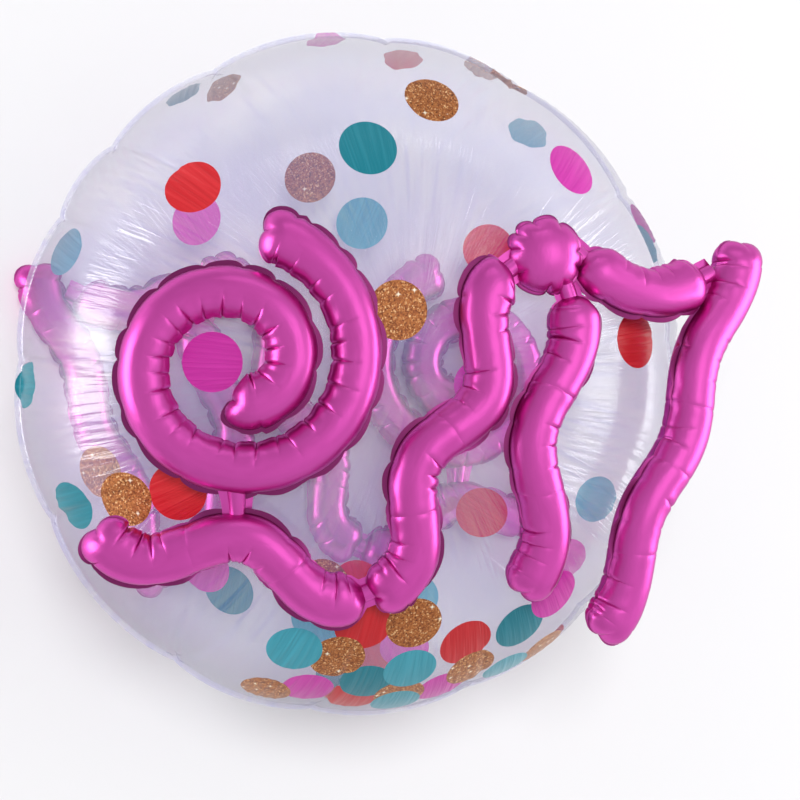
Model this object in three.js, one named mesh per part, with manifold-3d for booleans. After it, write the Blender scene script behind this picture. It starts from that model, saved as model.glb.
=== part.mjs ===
// A clear round film balloon printed with confetti dots, with a set of inflated foil
// streamers on its face and a smaller, mirrored set on its back. It lies on the back set.
// Millimetres. +X is the right of the printed face, +Y its top and +Z the way it faces.
// The origin is on the floor, under the middle of the box that the whole fills.

import * as THREE from 'three';
import { mergeVertices } from 'three/addons/utils/BufferGeometryUtils.js';
import Module from 'manifold-3d';

const wasm = await Module();
wasm.setup();

// Clear balloon: two flat film discs welded round the rim and blown up
const BALLOON_RADIUS = 306;
const WELD_WIDTH = 5;
const WELD_THICKNESS = 1.6;
const PUCKER_ANGLES = [6, 33, 61, 85, 116, 138, 153, 178, 205, 237, 262, 290, 315, 340];
const PUCKER_DEPTH = 0.022;
const PUCKER_REACH = 5;
const LOBE_FULLNESS = 0.6;
const BALLOON_SIDES = 90;
const RINGS_PER_FACE = 9;

// Foil streamers: round tubes with a weld down both sides and lobed ends
const TUBE_RADIUS = 21.5;
const TUBE_SIDES = 10;
const TUBE_STEP = 21;
const TUBE_WELD = 2;
const CAP_ANGLES = [Math.PI / 6, Math.PI / 3];
const END_SWELL = 0.1;
const END_LOBES = 4;
const END_LOBE_DEPTH = 0.12;
const NECK_RADIUS = 7;
const NECK_LENGTH = 13;
const NECK_SIDES = 8;

// Foil ball: flattened, with a scalloped weld
const BALL_RADIUS = 31;
const BALL_FLATNESS = 0.72;
const BALL_LOBES = 9;
const BALL_LOBE_DEPTH = 0.08;
const BALL_RINGS = 8;

// How the two sets lie. The face set rests on the film as far out as FOLLOW_RADIUS and
// goes straight on from there.
const FOLLOW_RADIUS = 170;
const GAP = 0.3;
const BACK_SCALE = 0.9;
const BACK_SHIFT = 25;

// The long ripple reaches past the rim, so the balloon's middle is beside the whole's
const BALLOON_ASIDE = -15.5;

const MAGENTA_FOIL = { color: 0xc8329f, roughness: 0.28, metalness: 0.85 };
const CLEAR_FILM = { color: 0xdcd9ec, roughness: 0.15, metalness: 0, transparent: true, opacity: 0.45 };

const TURN = 2 * Math.PI;
const INTEGRAL_STEPS = 200;
const TINY = 1e-9;
const MERGE_DISTANCE = 1e-4;

// Slope of an inflated disc of film that can't stretch, at a distance from its middle
function filmSlope(distance) {
  const rest = BALLOON_RADIUS ** 4 - distance ** 4;
  return distance ** 2 / Math.sqrt(Math.max(rest, TINY));
}

// How far the film has dropped below its middle there
function filmDrop(distance) {
  const step = distance / INTEGRAL_STEPS;
  let drop = 0;
  for (let i = 0; i < INTEGRAL_STEPS; i += 1) {
    drop += filmSlope((i + 0.5) * step) * step;
  }
  return drop;
}

// Height of the film over the rim, where the distance is BALLOON_RADIUS * sin(angle)
function filmHeight(angle) {
  const step = (Math.PI / 2 - angle) / INTEGRAL_STEPS;
  let height = 0;
  for (let i = 0; i < INTEGRAL_STEPS; i += 1) {
    const sine = Math.sin(angle + (i + 0.5) * step);
    height += (sine ** 2 / Math.sqrt(1 + sine ** 2)) * step;
  }
  return BALLOON_RADIUS * height;
}

const HALF_THICKNESS = filmHeight(0);
const FLAT_SHARE = Math.cos(Math.PI / TUBE_SIDES);
const BACK_HEIGHT = 2 * TUBE_RADIUS * BACK_SCALE * FLAT_SHARE;
const BALLOON_MIDDLE = BACK_HEIGHT + GAP + HALF_THICKNESS;

// A mesh with its shared vertices merged and its faces turned outward
function closedGeometry(geometry) {
  geometry.deleteAttribute('normal');
  geometry.deleteAttribute('uv');
  const merged = mergeVertices(geometry, MERGE_DISTANCE);
  const corners = [];
  for (let i = 0; i < merged.index.count; i += 3) {
    const [a, b, c] = [0, 1, 2].map((k) => merged.index.getX(i + k));
    if (a !== b && b !== c && c !== a) {
      corners.push(a, b, c);
    }
  }
  if (signedVolume(merged, corners) < 0) {
    corners.reverse();
  }
  merged.setIndex(corners);
  return merged;
}

function signedVolume(geometry, corners) {
  const place = geometry.attributes.position;
  const [a, b, c] = [0, 1, 2].map(() => new THREE.Vector3());
  let volume = 0;
  for (let i = 0; i < corners.length; i += 3) {
    a.fromBufferAttribute(place, corners[i]);
    b.fromBufferAttribute(place, corners[i + 1]);
    c.fromBufferAttribute(place, corners[i + 2]);
    volume += a.dot(b.cross(c));
  }
  return volume;
}

function asSolid(geometry) {
  const mesh = new wasm.Mesh({
    numProp: 3,
    vertProperties: new Float32Array(geometry.attributes.position.array),
    triVerts: new Uint32Array(geometry.index.array),
  });
  return new wasm.Manifold(mesh);
}

function asGeometry(solid) {
  const mesh = solid.getMesh();
  const geometry = new THREE.BufferGeometry();
  geometry.setAttribute('position', new THREE.BufferAttribute(mesh.vertProperties, 3));
  geometry.setIndex(new THREE.BufferAttribute(mesh.triVerts, 1));
  return closedGeometry(geometry);
}

function joined(first, second) {
  return asGeometry(asSolid(first).add(asSolid(second)));
}

// A geometry without the room of its neighbours, which are made a little fat for the gap
function fitted(geometry, ...neighbours) {
  const rest = neighbours.reduce((solid, fat) => solid.subtract(asSolid(fat)), asSolid(geometry));
  return asGeometry(rest);
}

// How full the rim is at an angle in degrees: 0 at a pucker, 1 between two
function rimFullness(degrees) {
  const angle = (degrees + 360) % 360;
  const after = PUCKER_ANGLES.findIndex((pucker) => pucker > angle);
  const count = PUCKER_ANGLES.length;
  const next = after < 0 ? PUCKER_ANGLES[0] + 360 : PUCKER_ANGLES[after];
  const last = after > 0 ? PUCKER_ANGLES[after - 1] : PUCKER_ANGLES[count - 1] - (after < 0 ? 0 : 360);
  return Math.sin((Math.PI * (angle - last)) / (next - last)) ** LOBE_FULLNESS;
}

function clearBalloon() {
  const face = [];
  for (let ring = 0; ring < RINGS_PER_FACE; ring += 1) {
    const angle = (ring / RINGS_PER_FACE) * (Math.PI / 2);
    face.push(new THREE.Vector2(BALLOON_RADIUS * Math.sin(angle), filmHeight(angle)));
  }
  face.push(new THREE.Vector2(BALLOON_RADIUS, WELD_THICKNESS / 2));
  face.push(new THREE.Vector2(BALLOON_RADIUS + WELD_WIDTH, WELD_THICKNESS / 2));
  const back = face.map((point) => new THREE.Vector2(point.x, -point.y));
  const geometry = new THREE.LatheGeometry([...back, ...face.reverse()], BALLOON_SIDES);
  geometry.rotateX(Math.PI / 2);
  const place = geometry.attributes.position;
  for (let i = 0; i < place.count; i += 1) {
    const [x, y] = [place.getX(i), place.getY(i)];
    const nearRim = (Math.hypot(x, y) / BALLOON_RADIUS) ** PUCKER_REACH;
    const fullness = rimFullness(THREE.MathUtils.radToDeg(Math.atan2(y, x)));
    const share = 1 - PUCKER_DEPTH * (1 - fullness) * nearRim;
    place.setXYZ(i, x * share, y * share, place.getZ(i) * share);
  }
  return closedGeometry(geometry);
}

// A whirl that starts at its outer end and winds inwards
class Whirl extends THREE.Curve {
  constructor({ middle, outer, inner, pitch, outerAngle }) {
    super();
    Object.assign(this, { middle, outer, inner, pitch, outerAngle });
  }

  getPoint(t, point = new THREE.Vector3()) {
    const radius = this.outer + (this.inner - this.outer) * t;
    const turned = ((this.outer - radius) / this.pitch) * TURN;
    const angle = THREE.MathUtils.degToRad(this.outerAngle) - turned;
    const x = this.middle[0] + radius * Math.cos(angle);
    const y = this.middle[1] + radius * Math.sin(angle);
    return point.set(x, y, 0);
  }
}

// A wave along a straight line, which starts on the line
class Ripple extends THREE.Curve {
  constructor({ from, to, height, waves }) {
    super();
    Object.assign(this, { from, to, height, waves });
  }

  getPoint(t, point = new THREE.Vector3()) {
    const [dx, dy] = [this.to[0] - this.from[0], this.to[1] - this.from[1]];
    const aside = (this.height / Math.hypot(dx, dy)) * Math.sin(TURN * this.waves * t);
    return point.set(this.from[0] + dx * t - dy * aside, this.from[1] + dy * t + dx * aside, 0);
  }
}

// The routes of the foil set, seen from the front, from the balloon's middle
const WHIRL = new Whirl({ middle: [-152, 6], outer: 112, inner: 30, pitch: 55, outerAngle: 78 });
const LEFT_RIPPLE = new Ripple({ from: [-262, -130], to: [-28, -182], height: -18, waves: 1.5 });
const MIDDLE_RIPPLE = new Ripple({ from: [92, 92], to: [-32, -190], height: -16, waves: 2 });
const RIGHT_RIPPLE = new Ripple({ from: [134, 76], to: [100, -190], height: 14, waves: 1.5 });
const LONG_RIPPLE = new Ripple({ from: [318, 116], to: [180, -230], height: 7, waves: 2.5 });
const SWAG = new Ripple({ from: [142, 106], to: [286, 88], height: -28, waves: 0.5 });
const WHIRL_NECK = { from: [-150, -90], to: [-146, -150] };
const BALL_MIDDLE = [115, 98];

// The face set's surface: the height of a tube's middle over a place, and its fall outwards
const FACE = {
  scale: 1,
  across: (x) => x,
  height(x, y) {
    const distance = Math.hypot(x, y);
    const near = Math.min(distance, FOLLOW_RADIUS);
    const slope = filmSlope(near);
    const lift = (TUBE_RADIUS * FLAT_SHARE + GAP) * Math.hypot(1, slope);
    return BALLOON_MIDDLE + HALF_THICKNESS - filmDrop(near) + lift - (distance - near) * slope;
  },
  fall: (x, y) => filmSlope(Math.min(Math.hypot(x, y), FOLLOW_RADIUS)),
};

// The back set's: flat on the floor, mirrored
const BACK = {
  scale: BACK_SCALE,
  across: (x) => BACK_SHIFT - x * BACK_SCALE,
  height: () => BACK_HEIGHT / 2,
  fall: () => 0,
};

// A flat point of a route, laid on a surface
function laid(x, y, surface) {
  const [across, along] = [surface.across(x), y * surface.scale];
  return new THREE.Vector3(across, along, surface.height(across, along));
}

// The place and the three directions of a tube's section, at a distance along its route
function sectionAt(route, length, along, surface) {
  const t = THREE.MathUtils.clamp(along / length, 0, 1);
  const flat = route.getPointAt(t);
  const heading = route.getTangentAt(t);
  const middle = laid(flat.x, flat.y, surface);
  const distance = Math.max(Math.hypot(middle.x, middle.y), TINY);
  const fall = surface.fall(middle.x, middle.y) / distance;
  const up = new THREE.Vector3(fall * middle.x, fall * middle.y, 1).normalize();
  const mirror = Math.sign(surface.across(1) - surface.across(0));
  const forward = new THREE.Vector3(mirror * heading.x, heading.y, 0);
  forward.addScaledVector(up, -forward.dot(up)).normalize();
  return { middle, forward, up, side: new THREE.Vector3().crossVectors(up, forward) };
}

// Radii along a tube: a round end, or a narrow neck where it joins another piece
function tubeProfile(length, { startNeck = false, endNeck = false, fat = 0 }) {
  const radius = TUBE_RADIUS + fat;
  const start = startNeck ? NECK_LENGTH : 0;
  const end = length - (endNeck ? NECK_LENGTH : 0);
  const body = end - start - 2 * radius;
  const steps = Math.ceil(body / TUBE_STEP);
  const points = [new THREE.Vector2(0, 0)];
  const add = (around, along) => points.push(new THREE.Vector2(around, along));
  if (startNeck) {
    add(NECK_RADIUS + fat, 0);
    add(NECK_RADIUS + fat, start);
  }
  CAP_ANGLES.forEach((angle) => {
    add(radius * Math.sin(angle), start + radius * (1 - Math.cos(angle)));
  });
  for (let i = 0; i <= steps; i += 1) {
    const fromCap = (body * Math.min(i, steps - i)) / steps;
    const swell = END_SWELL * Math.exp(-((fromCap / radius) ** 2));
    add(radius * (1 + swell), start + radius + (body * i) / steps);
  }
  [...CAP_ANGLES].reverse().forEach((angle) => {
    add(radius * Math.sin(angle), end - radius * (1 - Math.cos(angle)));
  });
  if (endNeck) {
    add(NECK_RADIUS + fat, end);
    add(NECK_RADIUS + fat, length);
  }
  add(0, length);
  return points;
}

// A straight tube bent along a route. The welds stand out on both sides, and a free end is
// lobed in the plane of the welds. A swollen end is no taller than the rest, to lie flat.
function foilTube(route, surface, form = {}) {
  const fat = form.fat ?? 0;
  const radius = TUBE_RADIUS + fat;
  const length = route.getLength();
  const whole = length + 2 * fat;
  const geometry = new THREE.LatheGeometry(tubeProfile(whole, form), TUBE_SIDES);
  const place = geometry.attributes.position;
  const point = new THREE.Vector3();
  for (let i = 0; i < place.count; i += 1) {
    point.fromBufferAttribute(place, i);
    const around = Math.hypot(point.x, point.z);
    const onWeld = Math.abs(point.x) < TINY * whole && around > NECK_RADIUS + fat;
    const atStart = point.y < whole / 2;
    const inward = radius - Math.min(point.y, whole - point.y);
    const free = atStart ? !form.startNeck : !form.endNeck;
    const lobed = free && inward > 0;
    let aside = onWeld ? point.z * (1 + TUBE_WELD / around) : point.z;
    let along = point.y - fat;
    if (lobed) {
      const lobe = 1 - END_LOBE_DEPTH * Math.cos(END_LOBES * Math.atan2(aside, inward));
      const fromTip = TUBE_RADIUS - inward * lobe;
      aside *= lobe;
      along = atStart ? fromTip : length - fromTip;
    }
    const section = sectionAt(route, length, along, surface);
    const past = along - THREE.MathUtils.clamp(along, 0, length);
    const rise = point.x * Math.min(1, radius / Math.max(around, TINY));
    point.copy(section.middle);
    point.addScaledVector(section.forward, past * surface.scale);
    point.addScaledVector(section.side, aside * surface.scale);
    point.addScaledVector(section.up, rise * surface.scale);
    place.setXYZ(i, point.x, point.y, point.z);
  }
  return closedGeometry(geometry);
}

function foilBall(surface, fat = 0) {
  const geometry = new THREE.SphereGeometry(BALL_RADIUS + fat, 2 * BALL_LOBES, BALL_RINGS);
  geometry.rotateX(Math.PI / 2);
  const place = geometry.attributes.position;
  const rise = BALL_RADIUS * BALL_FLATNESS - TUBE_RADIUS * FLAT_SHARE + GAP;
  for (let i = 0; i < place.count; i += 1) {
    const [x, y] = [place.getX(i), place.getY(i)];
    const lobe = 1 + BALL_LOBE_DEPTH * Math.cos(BALL_LOBES * Math.atan2(y, x));
    place.setXYZ(i, x * lobe, y * lobe, place.getZ(i) * BALL_FLATNESS + rise);
  }
  geometry.scale(surface.scale, surface.scale, surface.scale);
  geometry.translate(...laid(...BALL_MIDDLE, surface).toArray());
  return closedGeometry(geometry);
}

// A narrow neck between two places
function sideNeck({ from, to }, surface) {
  const [first, last] = [laid(...from, surface), laid(...to, surface)];
  const along = new THREE.Vector3().subVectors(last, first);
  const geometry = new THREE.CylinderGeometry(NECK_RADIUS, NECK_RADIUS, along.length(), NECK_SIDES);
  const upright = new THREE.Vector3(0, 1, 0);
  const turn = new THREE.Quaternion().setFromUnitVectors(upright, along.normalize());
  geometry.applyQuaternion(turn);
  geometry.translate(...first.lerp(last, 0.5).toArray());
  return closedGeometry(geometry);
}

function namedMesh(name, geometry, finish) {
  const mesh = new THREE.Mesh(geometry, new THREE.MeshStandardMaterial(finish));
  mesh.name = name;
  return mesh;
}

function foilSet(side, surface) {
  const fat = GAP / surface.scale;
  const tube = (route, form) => foilTube(route, surface, form);
  const fatBall = foilBall(surface, fat);
  const atStart = { startNeck: true };
  const atEnd = { endNeck: true };
  const atBoth = { startNeck: true, endNeck: true };
  const whirlNeck = fitted(sideNeck(WHIRL_NECK, surface), tube(LEFT_RIPPLE, { ...atEnd, fat }));
  const pieces = {
    whirl: joined(tube(WHIRL), whirlNeck),
    left_ripple: fitted(tube(LEFT_RIPPLE, atEnd), tube(MIDDLE_RIPPLE, { ...atStart, fat })),
    middle_ripple: fitted(tube(MIDDLE_RIPPLE, atStart), fatBall),
    right_ripple: fitted(tube(RIGHT_RIPPLE, atStart), fatBall),
    long_ripple: tube(LONG_RIPPLE),
    swag: fitted(tube(SWAG, atBoth), fatBall, tube(LONG_RIPPLE, { fat })),
    ball: foilBall(surface),
  };
  return Object.entries(pieces).map(([name, geometry]) =>
    namedMesh(`${side}_${name}`, geometry, MAGENTA_FOIL),
  );
}

const film = namedMesh('clear_balloon', clearBalloon(), CLEAR_FILM);
film.position.z = BALLOON_MIDDLE;

const balloon = new THREE.Group();
balloon.position.x = BALLOON_ASIDE;
balloon.add(film, ...foilSet('face', FACE), ...foilSet('back', BACK));

export default balloon;
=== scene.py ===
# %% [markdown]
# # A confetti balloon, dressed for its picture
#
# The real thing is two round sheets of clear film, printed with big confetti dots while they
# were flat, welded together round the rim and blown up. A set of magenta foil streamers lies
# on its face, and a smaller mirrored set on its back. It can't stand, so it lies on that back
# set and the camera looks down on it.
#
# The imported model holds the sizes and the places. Everything here is in metres and in the
# same frame: +Z out of the printed face, +Y to its top, +X to its right.

# %% Load the frame
import math
import bpy
import numpy as np
from mathutils import Matrix, Vector
from mathutils.geometry import delaunay_2d_cdt


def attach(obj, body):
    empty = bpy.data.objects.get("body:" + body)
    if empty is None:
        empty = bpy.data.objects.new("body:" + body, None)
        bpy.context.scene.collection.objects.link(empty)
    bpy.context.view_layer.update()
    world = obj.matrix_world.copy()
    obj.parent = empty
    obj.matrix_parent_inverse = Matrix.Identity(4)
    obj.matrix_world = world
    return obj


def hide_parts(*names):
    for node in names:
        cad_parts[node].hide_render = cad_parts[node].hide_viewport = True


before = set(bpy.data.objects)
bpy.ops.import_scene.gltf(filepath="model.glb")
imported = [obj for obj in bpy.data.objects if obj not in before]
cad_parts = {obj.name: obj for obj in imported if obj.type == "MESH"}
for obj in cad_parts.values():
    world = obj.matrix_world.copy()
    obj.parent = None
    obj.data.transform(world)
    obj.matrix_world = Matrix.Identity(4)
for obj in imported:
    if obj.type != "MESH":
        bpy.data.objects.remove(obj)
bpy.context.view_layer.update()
MM = 0.001
TURN = 2 * math.pi
BODY = "root"
FACE, BACK = 1, -1
SIDES = {"face": FACE, "back": BACK}

# %% [markdown]
# ## The main sizes
#
# The balloon's size drives everything. Its rim is drawn in at a few puckers, and it lies on
# the back streamers, which are a tenth smaller than the ones on its face. The same values
# made the solids, so that what is made here lies where they do.

# %% Sizes of the balloon and the streamers
BALLOON_RADIUS = 306 * MM
WELD_WIDTH = 5 * MM
PUCKER_ANGLES = (6, 33, 61, 85, 116, 138, 153, 178, 205, 237, 262, 290, 315, 340)
PUCKER_DEPTH = 0.0176
PUCKER_REACH = 5
LOBE_FULLNESS = 0.6
TUBE_RADIUS = 21.5 * MM
TUBE_SIDES = 10
FLAT_SHARE = math.cos(math.pi / TUBE_SIDES)
GAP = 0.3 * MM
BACK_SCALE = 0.9
BACK_SHIFT = 25 * MM
BACK_HEIGHT = 2 * TUBE_RADIUS * BACK_SCALE * FLAT_SHARE
FOLLOW_RADIUS = 170 * MM
BALLOON_ASIDE = -15.5 * MM

# %% [markdown]
# ## The shape of a blown up disc
#
# Film can't stretch. Two flat discs welded at the rim blow up to one known shape: at
# `radius * sin(angle)` from the middle, both the height over the rim and the distance along
# the film are short integrals. They are added up once, in small steps, and read from then
# on. The distance along the film says where a print on the flat disc ends up.

# %% Work out the film's curve
CURVE_STEPS = 2000
NEARLY_ZERO = 1e-12
curve_angle = np.linspace(0, math.pi / 2, CURVE_STEPS + 1)
step = curve_angle[1]
sine = np.sin(curve_angle[:-1] + step / 2)
rise = BALLOON_RADIUS * step * sine**2 / np.sqrt(1 + sine**2)
run = BALLOON_RADIUS * step / np.sqrt(1 + sine**2)
curve_height = np.concatenate([np.cumsum(rise[::-1])[::-1], [0]])
curve_flat = np.concatenate([[0], np.cumsum(run)])
HALF_THICKNESS = curve_height[0]
FLAT_RADIUS = curve_flat[-1]
BALLOON_MIDDLE = np.array([BALLOON_ASIDE, 0, BACK_HEIGHT + GAP + HALF_THICKNESS])
print(f"discs of {2 * FLAT_RADIUS / MM:.0f} mm blow up to {2 * HALF_THICKNESS / MM:.0f} mm thick")


def film_height(distance):
    """Height of the film over the rim, at a distance from its axis."""
    return np.interp(distance, BALLOON_RADIUS * np.sin(curve_angle), curve_height)


def film_slope(distance):
    """How steeply the film falls outwards there."""
    return distance**2 / np.sqrt(np.maximum(BALLOON_RADIUS**4 - distance**4, NEARLY_ZERO))


def share_between(marks, places):
    """How far each place is from the mark before it to the mark after it, from 0 to 1."""
    after = np.clip(np.searchsorted(marks, places, side="right"), 1, len(marks) - 1)
    share = (places - marks[after - 1]) / (marks[after] - marks[after - 1])
    return np.clip(share, 0, 1)


def rim_fullness(angle):
    """0 at a pucker of the rim and 1 between two of them."""
    puckers = np.array([PUCKER_ANGLES[-1] - 360, *PUCKER_ANGLES, PUCKER_ANGLES[0] + 360])
    share = share_between(puckers, np.degrees(angle) % 360)
    return np.sin(math.pi * share) ** LOBE_FULLNESS


# %% [markdown]
# ## The camera
#
# The picture was taken a little from the left, from far enough away to flatten the view.
# The camera is moved sideways and not turned to frame the picture, so nothing leans.

# %% Place the camera
CAMERA_TILT = math.radians(15.6)
CAMERA_DISTANCE = 2.5
PICTURE_SIDE = 800
PIXEL = 0.906 * MM  # at the balloon's middle
PICTURE_ASIDE = 45 * PIXEL
PICTURE_DOWN = 27 * PIXEL
view_right = np.array([math.cos(CAMERA_TILT), 0, math.sin(CAMERA_TILT)])
view_up = np.array([0, 1, 0])
view_ahead = np.array([math.sin(CAMERA_TILT), 0, -math.cos(CAMERA_TILT)])
eye = BALLOON_MIDDLE - CAMERA_DISTANCE * view_ahead
eye = eye + PICTURE_ASIDE * view_right - PICTURE_DOWN * view_up

camera_data = bpy.data.cameras.new("camera")
camera_data.sensor_width = 36
camera_data.lens = camera_data.sensor_width * CAMERA_DISTANCE / (PICTURE_SIDE * PIXEL)
camera = bpy.data.objects.new("camera", camera_data)
camera.location = eye
camera.rotation_mode = "QUATERNION"
turned_so = Matrix((view_right, view_up, -view_ahead)).transposed()
camera.rotation_quaternion = turned_so.to_quaternion()
bpy.context.scene.collection.objects.link(camera)
bpy.context.scene.camera = camera
print(f"lens {camera_data.lens:.0f} mm")

# %% [markdown]
# ## A few helpers
#
# An operator acts on all that is selected, so everything is deselected before one is used.
# A node tree is built from the same few steps again and again: a node is added, its inputs
# are linked or set, and its result is handed on. These helpers say each step in one line.

# %% Helpers for objects made by operators


def deselect():
    bpy.ops.object.select_all(action="DESELECT")


def name_it(name):
    """Name what an operator has just made."""
    made = bpy.context.object
    made.name = name
    made.data.name = name
    return made


# %% Helpers for node trees


def add_node(tree, kind, links=None, **settings):
    """A node with its settings, and its inputs linked or set by name or number."""
    node = tree.nodes.new(kind)
    for name, value in settings.items():
        setattr(node, name, value)
    for name, value in (links or {}).items():
        if isinstance(value, bpy.types.NodeSocket):
            tree.links.new(value, node.inputs[name])
        else:
            node.inputs[name].default_value = value
    return node


def maths(tree, operation, *values, clamped=False):
    """The result of a sum with one or two values."""
    links = dict(enumerate(values))
    node = add_node(tree, "ShaderNodeMath", links, operation=operation, use_clamp=clamped)
    return node.outputs[0]


def vector_maths(tree, operation, *values):
    """The result of a sum with one or two vectors: a vector, or a number for some sums."""
    node = add_node(tree, "ShaderNodeVectorMath", dict(enumerate(values)), operation=operation)
    return node.outputs["Value" if operation in ("LENGTH", "DOT_PRODUCT") else "Vector"]


def ranged(tree, value, before, after):
    """A value carried over from one range to another, and held inside it."""
    limits = {"From Min": before[0], "From Max": before[1], "To Min": after[0], "To Max": after[1]}
    return add_node(tree, "ShaderNodeMapRange", {"Value": value, **limits}).outputs["Result"]


def mixed(tree, factor, first, second):
    """Two colours mixed. Each is the output of a node or a plain colour."""
    mix = add_node(tree, "ShaderNodeMix", {"Factor": factor}, data_type="RGBA")
    for number, colour in ((6, first), (7, second)):
        if isinstance(colour, bpy.types.NodeSocket):
            tree.links.new(colour, mix.inputs[number])
        else:
            mix.inputs[number].default_value = (*colour, 1)
    return mix.outputs[2]


def on_surface(tree, name, output="Fac"):
    """What a piece's points say under this name."""
    return add_node(tree, "ShaderNodeAttribute", attribute_name=name).outputs[output]


def bumped(tree, shader, height, strength, depth):
    """Relief in the finish alone."""
    bump = add_node(
        tree, "ShaderNodeBump", {"Height": height, "Strength": strength, "Distance": depth}
    )
    tree.links.new(bump.outputs["Normal"], shader.inputs["Normal"])


# %% [markdown]
# ## Floor and light
#
# A pale floor and a bright even room. The key light stands high at the upper left, so that
# the shadow falls softly to the lower right. It is kept out of the mirrors, because its small
# hard spot would burn a hole in every tube. Two big boxes stand low at the left and right,
# where the film's steep sides mirror them as a soft glow. What the foil mirrors of the room
# grows from dim below and at the left to bright above and at the right, which gives each tube
# a lit side.

# %% Lay the floor
FLOOR_SIZE = 40
FLOOR_COLOUR = (0.82, 0.82, 0.825, 1)
deselect()
bpy.ops.mesh.primitive_plane_add(size=FLOOR_SIZE)
floor = name_it("floor")

floor_paint = bpy.data.materials.new("pale_floor")
floor_paint.use_nodes = True
floor_shader = floor_paint.node_tree.nodes["Principled BSDF"]
floor_shader.inputs["Base Color"].default_value = FLOOR_COLOUR
floor_shader.inputs["Roughness"].default_value = 0.9
floor_shader.inputs["Specular IOR Level"].default_value = 0.1
floor.data.materials.append(floor_paint)
print(floor.name, FLOOR_SIZE, "m wide")

# %% Light the room
ROOM_LIGHT = 0.44
ROOM_COLOUR = (0.98, 0.98, 1, 1)
MIRRORED_LIGHT = (0.42, 0.82)  # at its dimmest and at its brightest
MIRRORED_RANGE = (-0.6, 1)
MIRRORED_FROM = Vector((0.55, -0.25, 0.8)).normalized()  # where it is brightest
world = bpy.data.worlds.new("room")
world.use_nodes = True
room = world.node_tree
background = room.nodes["Background"]
background.inputs["Color"].default_value = ROOM_COLOUR
direction = add_node(room, "ShaderNodeTexCoord").outputs["Generated"]
nearness = vector_maths(room, "DOT_PRODUCT", direction, MIRRORED_FROM)
mirrored = ranged(room, nearness, MIRRORED_RANGE, MIRRORED_LIGHT)
is_mirror_ray = add_node(room, "ShaderNodeLightPath").outputs["Is Glossy Ray"]
strength = add_node(
    room, "ShaderNodeMix", {"Factor": is_mirror_ray, "A": ROOM_LIGHT, "B": mirrored}
)
room.links.new(strength.outputs["Result"], background.inputs["Strength"])
bpy.context.scene.world = world
bpy.context.scene.view_settings.view_transform = "Standard"

# %% Stand the lights
KEY_STRENGTH = 1.65
KEY_SOFTNESS = math.radians(18)
KEY_DIRECTION = (-0.17, 0.2, 1)
SOFT_BOXES = {  # place, width, length and brightness
    "high_box": ((0.95, 0.35, 2.5), 1.5, 1.3, 0.9),
    "low_left_box": ((-2.2, 0.1, 0.42), 1.5, 1, 5),
    "low_right_box": ((2.2, 0, 0.6), 1.5, 1.1, 4),
    "top_strip": ((0.1, 2.2, 1.7), 1.8, 0.2, 2),
}
key_data = bpy.data.lights.new("key", "SUN")
key_data.energy = KEY_STRENGTH
key_data.angle = KEY_SOFTNESS
key = bpy.data.objects.new("key", key_data)
key.rotation_mode = "QUATERNION"
key.rotation_quaternion = Vector(KEY_DIRECTION).to_track_quat("Z", "Y")
key.visible_glossy = False
bpy.context.scene.collection.objects.link(key)

for name, (place, width, length, brightness) in SOFT_BOXES.items():
    box_data = bpy.data.lights.new(name, "AREA")
    box_data.shape = "RECTANGLE"
    box_data.size, box_data.size_y = width, length
    box_data.energy = brightness * math.pi * width * length
    box = bpy.data.objects.new(name, box_data)
    box.location = place
    box.rotation_mode = "QUATERNION"
    box.rotation_quaternion = (Vector(place) - Vector(BALLOON_MIDDLE)).to_track_quat("Z", "Y")
    bpy.context.scene.collection.objects.link(box)
print(len(SOFT_BOXES), "soft boxes and a key light")

# %% [markdown]
# ## Finishes
#
# Three things make the finishes of this balloon: how the light film is creased, how the ink
# lies on it, and how the lacquered foil mirrors. A crinkle that all of them share is a node
# group. It folds a soft noise at its middle value, so that sharp lines run through it, and
# puts out a height, the lines and the noise itself. It reads the place on the flat film, or
# on the straight tube, from an attribute called `rest`, so it follows the surface.

# %% The crinkle that film and foil share


def new_group(name, inputs, outputs):
    """A shader node group with these (kind, name) inputs and (kind, name) outputs."""
    tree = bpy.data.node_groups.new(name, "ShaderNodeTree")
    for kind, label in inputs:
        tree.interface.new_socket(label, in_out="INPUT", socket_type=kind)
    for kind, label in outputs:
        tree.interface.new_socket(label, in_out="OUTPUT", socket_type=kind)
    return tree, tree.nodes.new("NodeGroupInput"), tree.nodes.new("NodeGroupOutput")


FLOAT, VECTOR = "NodeSocketFloat", "NodeSocketVector"
CRINKLE_DETAIL = 2
crinkle, start, end = new_group(
    "crinkle",
    [(VECTOR, "Place"), (FLOAT, "Fineness"), (FLOAT, "Sharpness")],
    [(FLOAT, "Height"), (FLOAT, "Lines"), (FLOAT, "Mask")],
)
noise = add_node(
    crinkle,
    "ShaderNodeTexNoise",
    {
        "Vector": start.outputs["Place"],
        "Scale": start.outputs["Fineness"],
        "Detail": CRINKLE_DETAIL,
    },
).outputs["Fac"]
folds = maths(crinkle, "ABSOLUTE", maths(crinkle, "SUBTRACT", noise, 0.5))
folds = maths(crinkle, "MULTIPLY", folds, start.outputs["Sharpness"], clamped=True)
crinkle.links.new(folds, end.inputs["Height"])
crinkle.links.new(maths(crinkle, "SUBTRACT", 1, folds), end.inputs["Lines"])
crinkle.links.new(noise, end.inputs["Mask"])


def crinkled(tree, place, fineness, sharpness):
    """The crinkle, placed in a finish with its own values."""
    links = {"Place": place, "Fineness": fineness, "Sharpness": sharpness}
    return add_node(tree, "ShaderNodeGroup", links, node_tree=crinkle)


def new_finish(name):
    """A new material, its node tree and its Principled shader."""
    finish = bpy.data.materials.new(name)
    finish.use_nodes = True
    return finish, finish.node_tree, finish.node_tree.nodes["Principled BSDF"]


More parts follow.
